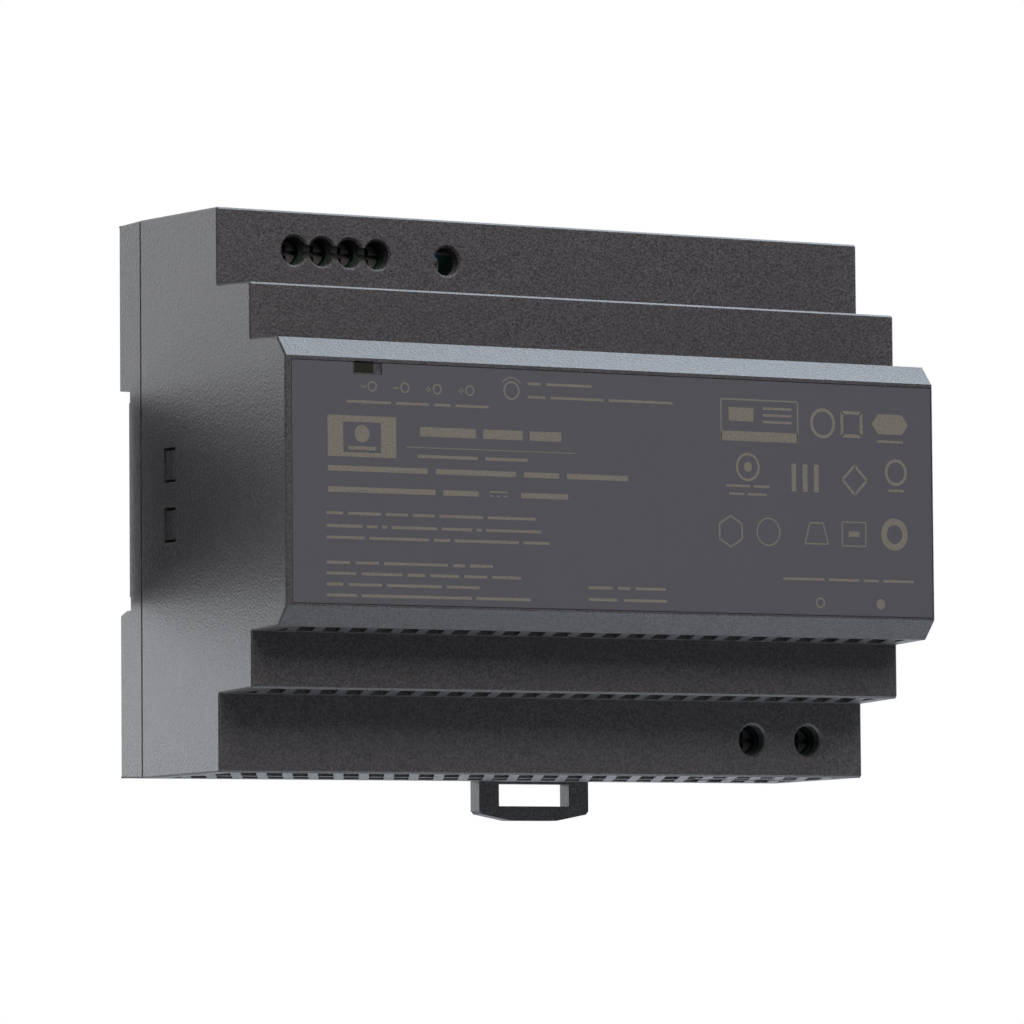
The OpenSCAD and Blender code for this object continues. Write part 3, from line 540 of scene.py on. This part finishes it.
def latch_spring():
    """A round-wire compression spring in the place of its CAD node."""
    low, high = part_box("latch_spring")
    wire = 0.25 * MM
    coil = (high.x - low.x) / 2 - wire
    centre = (low + high) / 2
    turns, steps, sides = 7, 34, 10
    mesh = bmesh.new()
    rings = []
    total = turns * steps
    run = (high.z - low.z) - 2 * wire
    for i in range(total + 1):
        f = i / total
        if f < 0.12:
            rise = f * 0.35
        elif f > 0.88:
            rise = 1 - (1 - f) * 0.35
        else:
            rise = 0.042 + (f - 0.12) * 0.916 / 0.76
        turn = 2 * math.pi * turns * f
        out = Vector((math.cos(turn), math.sin(turn), 0))
        middle = Vector((centre.x, centre.y, low.z + wire + run * rise)) + out * coil
        ring = []
        for k in range(sides):
            a = 2 * math.pi * k / sides
            around = out * wire * math.cos(a) + Vector((0, 0, wire * math.sin(a)))
            ring.append(mesh.verts.new(middle + around))
        rings.append(ring)
    for a, b in zip(rings, rings[1:]):
        for k in range(sides):
            j = (k + 1) % sides
            mesh.faces.new((a[k], a[j], b[j], b[k]))
    mesh.faces.new(list(reversed(rings[0])))
    mesh.faces.new(rings[-1])
    bmesh.ops.recalc_face_normals(mesh, faces=mesh.faces)
    data = bpy.data.meshes.new("latch_spring_wire")
    mesh.to_mesh(data)
    mesh.free()
    data.polygons.foreach_set("use_smooth", [True] * len(data.polygons))
    data.materials.append(materials["spring_steel"])
    spring = bpy.data.objects.new("latch_spring_wire", data)
    bpy.context.scene.collection.objects.link(spring)
    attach(spring, "housing")
    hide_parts("latch_spring")
    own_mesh(spring)
    return spring


# ---------------------------------------------------------------- studio

FLOOR_Z = -0.115

def floor():
    """Plain pale floor, below the part, which hangs as it does on its rail."""
    near, far, half = -4.5, 1.5, 3.5
    corners = ((-half, near), (half, near), (half, far), (-half, far))
    mesh = bmesh.new()
    mesh.faces.new([mesh.verts.new((x, y, 0)) for x, y in corners])
    data = bpy.data.meshes.new("studio_floor")
    mesh.to_mesh(data)
    mesh.free()
    s = Surface("studio_floor_paint")
    speckle = s.noise(0.02, detail=4.0)
    s.bump(s.noise(0.3, detail=4.0), 0.05, 0.2)
    data.materials.append(s.finish(s.blend(speckle, (0.60, 0.60, 0.60), (0.65, 0.65, 0.65)), 0.6))
    made = bpy.data.objects.new("studio_floor", data)
    made.location.z = FLOOR_Z
    bpy.context.scene.collection.objects.link(made)
    made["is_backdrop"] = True


def card(name, low, high, feather, axis, blocks_light):
    """A dark card beside the set, out of the picture, flat across one axis and fading out over its border."""
    mesh = bmesh.new()
    u, v = [i for i in range(3) if i != axis]
    rings = []
    for inset in (0, feather):
        ring = []
        for at_u, at_v in ((low[u] + inset, low[v] + inset), (high[u] - inset, low[v] + inset),
                           (high[u] - inset, high[v] - inset), (low[u] + inset, high[v] - inset)):
            place = [low[axis]] * 3
            place[u], place[v] = at_u, at_v
            ring.append(mesh.verts.new(place))
        rings.append(ring)
    outer, inner = rings
    mesh.faces.new(inner)
    for i in range(4):
        j = (i + 1) % 4
        mesh.faces.new((outer[i], outer[j], inner[j], inner[i]))
    data = bpy.data.meshes.new(name)
    mesh.to_mesh(data)
    mesh.free()
    opacity = data.attributes.new("opacity", "FLOAT", "POINT")
    opacity.data.foreach_set("value", [0.0] * 4 + [1.0] * 4)
    s = Surface(name + "_cloth")
    s.put(s.shader.inputs["Alpha"], s.add("ShaderNodeAttribute", attribute_name="opacity").outputs["Fac"])
    cloth = s.blend(s.noise(0.5, detail=3.0), (0.015, 0.014, 0.014), (0.03, 0.028, 0.028))
    data.materials.append(s.finish(cloth, 0.9))
    made = bpy.data.objects.new(name, data)
    made.visible_camera = False
    made.visible_shadow = blocks_light
    bpy.context.scene.collection.objects.link(made)
    made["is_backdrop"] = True


def cards():
    """One card shades the middle of the left side, and one on the floor keeps the lower steps dark."""
    low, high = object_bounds()
    left, half, back = low[0] - 1.2 * MM, 17 * MM, 1.5 * MM
    card("side_card", (left - 0.32, back, -half), (left, back, half), 0.01 * MM, 1, True)
    front, down = low[1] - 0.10, FLOOR_Z + 2 * MM
    card("floor_card", (-0.9, front - 1.4, down), (0.9, front + 0.1, down), 0.2, 2, False)


def area_light(name, place, aim, size, power, colour=(1, 1, 1)):
    data = bpy.data.lights.new(name, "AREA")
    data.shape = "RECTANGLE"
    data.size, data.size_y = size
    data.energy = power
    data.color = colour
    lamp = bpy.data.objects.new(name, data)
    lamp.visible_camera = False
    lamp.location = place
    lamp.rotation_mode = "QUATERNION"
    lamp.rotation_quaternion = (Vector(aim) - Vector(place)).to_track_quat("-Z", "Y")
    bpy.context.scene.collection.objects.link(lamp)
    return lamp


def surroundings():
    """White room: the camera sees plain white, and the light on the part comes mostly from behind."""
    world = bpy.data.worlds.new("studio")
    bpy.context.scene.world = world
    world.use_nodes = True
    tree = world.node_tree
    tree.nodes.clear()
    add, link = tree.nodes.new, tree.links.new
    place = add("ShaderNodeTexCoord")
    split = add("ShaderNodeSeparateXYZ")
    link(place.outputs["Generated"], split.inputs[0])
    depth = add("ShaderNodeMapRange")
    depth.interpolation_type = "SMOOTHSTEP"
    for key, value in (("From Min", -0.2), ("From Max", 0.7), ("To Min", 0.12), ("To Max", 2.6)):
        depth.inputs[key].default_value = value
    link(split.outputs["Y"], depth.inputs["Value"])
    slope = add("ShaderNodeMath")
    slope.operation = "ABSOLUTE"
    link(split.outputs["Z"], slope.inputs[0])
    band = add("ShaderNodeMapRange")
    for key, value in (("From Min", 0.3), ("From Max", 0.7), ("To Min", 1.0), ("To Max", 0.25)):
        band.inputs[key].default_value = value
    link(slope.outputs[0], band.inputs["Value"])
    strength = add("ShaderNodeMath")
    strength.operation = "MULTIPLY"
    link(depth.outputs["Result"], strength.inputs[0])
    link(band.outputs["Result"], strength.inputs[1])
    lit = add("ShaderNodeBackground")
    lit.inputs["Color"].default_value = (0.93, 0.96, 1.0, 1)
    link(strength.outputs[0], lit.inputs["Strength"])
    seen = add("ShaderNodeBackground")
    seen.inputs["Color"].default_value = (1, 1, 1, 1)
    seen.inputs["Strength"].default_value = 1.0
    rays = add("ShaderNodeLightPath")
    choose = add("ShaderNodeMixShader")
    link(rays.outputs["Is Camera Ray"], choose.inputs["Fac"])
    link(lit.outputs[0], choose.inputs[1])
    link(seen.outputs[0], choose.inputs[2])
    output = add("ShaderNodeOutputWorld")
    link(choose.outputs[0], output.inputs["Surface"])


def camera():
    """From the left of the front and slightly below."""
    yaw, pitch, roll = (math.radians(a) for a in (-31.5087, 3.8242, 0.4437))
    turn = Euler((0, 0, yaw)).to_matrix() @ Euler((pitch, 0, 0)).to_matrix() @ Euler((0, roll, 0)).to_matrix()
    right, ahead, up = (turn @ Vector(axis) for axis in ((1, 0, 0), (0, 1, 0), (0, 0, 1)))
    data = bpy.data.cameras.new("camera")
    data.sensor_width = 36.0
    data.lens = 230.676
    data.clip_start, data.clip_end = 0.05, 50.0
    made = bpy.data.objects.new("camera", data)
    pose = Matrix((right, up, -ahead)).transposed().to_4x4()
    pose.translation = (-0.56089, -0.93321, -0.07302)
    made.matrix_world = pose
    bpy.context.scene.collection.objects.link(made)
    bpy.context.scene.camera = made


paint_frame()
terminal_marks()
rating_marks()
symbol_marks()
latch_spring()
floor()
surroundings()
area_light("top_softbox", (0.40, -0.06, 0.66), (0, 0, 0), (0.55, 0.55), 8.2, (0.76, 0.88, 1.0))
area_light("front_softbox", (-0.12, -0.82, 0.66), (0, 0, 0), (0.8, 0.6), 8.2, (1.0, 0.965, 0.955))
area_light("low_kicker", (-0.15, 0.11, -0.036), (-0.061, -0.012, -0.04), (0.10, 0.05), 0.062,
           (0.92, 0.96, 1.0))
area_light("under_fill", (0.05, -0.04, FLOOR_Z + 4 * MM), (0.05, -0.04, 0), (0.24, 0.06), 0.042,
           (0.72, 0.86, 1.0))
cards()
camera()
bpy.context.scene.view_settings.view_transform = "Standard"
